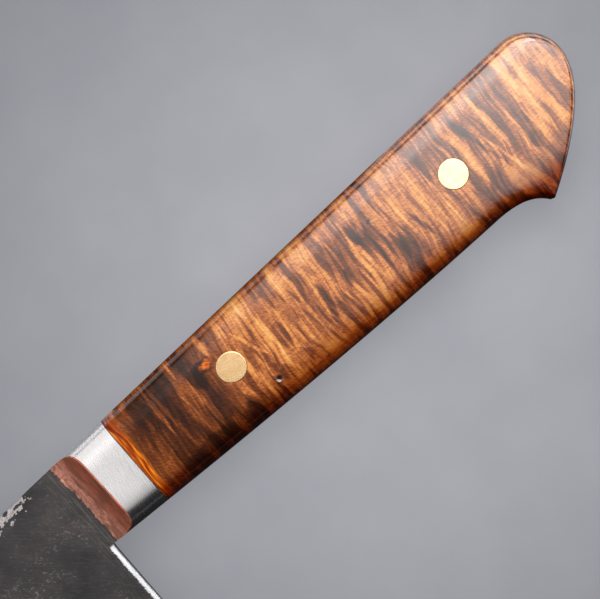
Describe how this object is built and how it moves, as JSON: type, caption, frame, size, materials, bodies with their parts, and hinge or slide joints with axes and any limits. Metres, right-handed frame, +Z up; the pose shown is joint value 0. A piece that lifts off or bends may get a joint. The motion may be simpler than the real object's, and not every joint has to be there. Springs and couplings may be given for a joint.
{
  "type": "gyuto knife",
  "caption": "Long Japanese kitchen knife with a dark forged blade, copper-coloured brazed bolsters, curly wooden scales pinned to a full tang and a beaked butt.",
  "frame": {"origin": "bottom centre of the whole knife's bounding box, with the knife lying on its right side", "axes": "+X from the point to the butt, +Y from the edge to the spine, +Z up out of the left side of the knife"},
  "size_m": [0.374, 0.0558, 0.0184],
  "materials": {
    "forged_steel": "dark forge scale, worn bright at the edges",
    "bolster_steel": "fine satin",
    "copper": "rough, darkened",
    "curly_wood": "clear gloss over curly figure",
    "epoxy": "dark glue line",
    "pin_brass": "polished"
  },
  "bodies": {
    "root": {"blade": "forged_steel", "bolster_left": "bolster_steel", "bolster_right": "bolster_steel", "braze_left": "copper", "braze_right": "copper", "scale_left": "curly_wood", "scale_right": "curly_wood", "glue_left": "epoxy", "glue_right": "epoxy", "pin_front": "pin_brass", "pin_rear": "pin_brass"}
  },
  "joints": []
}
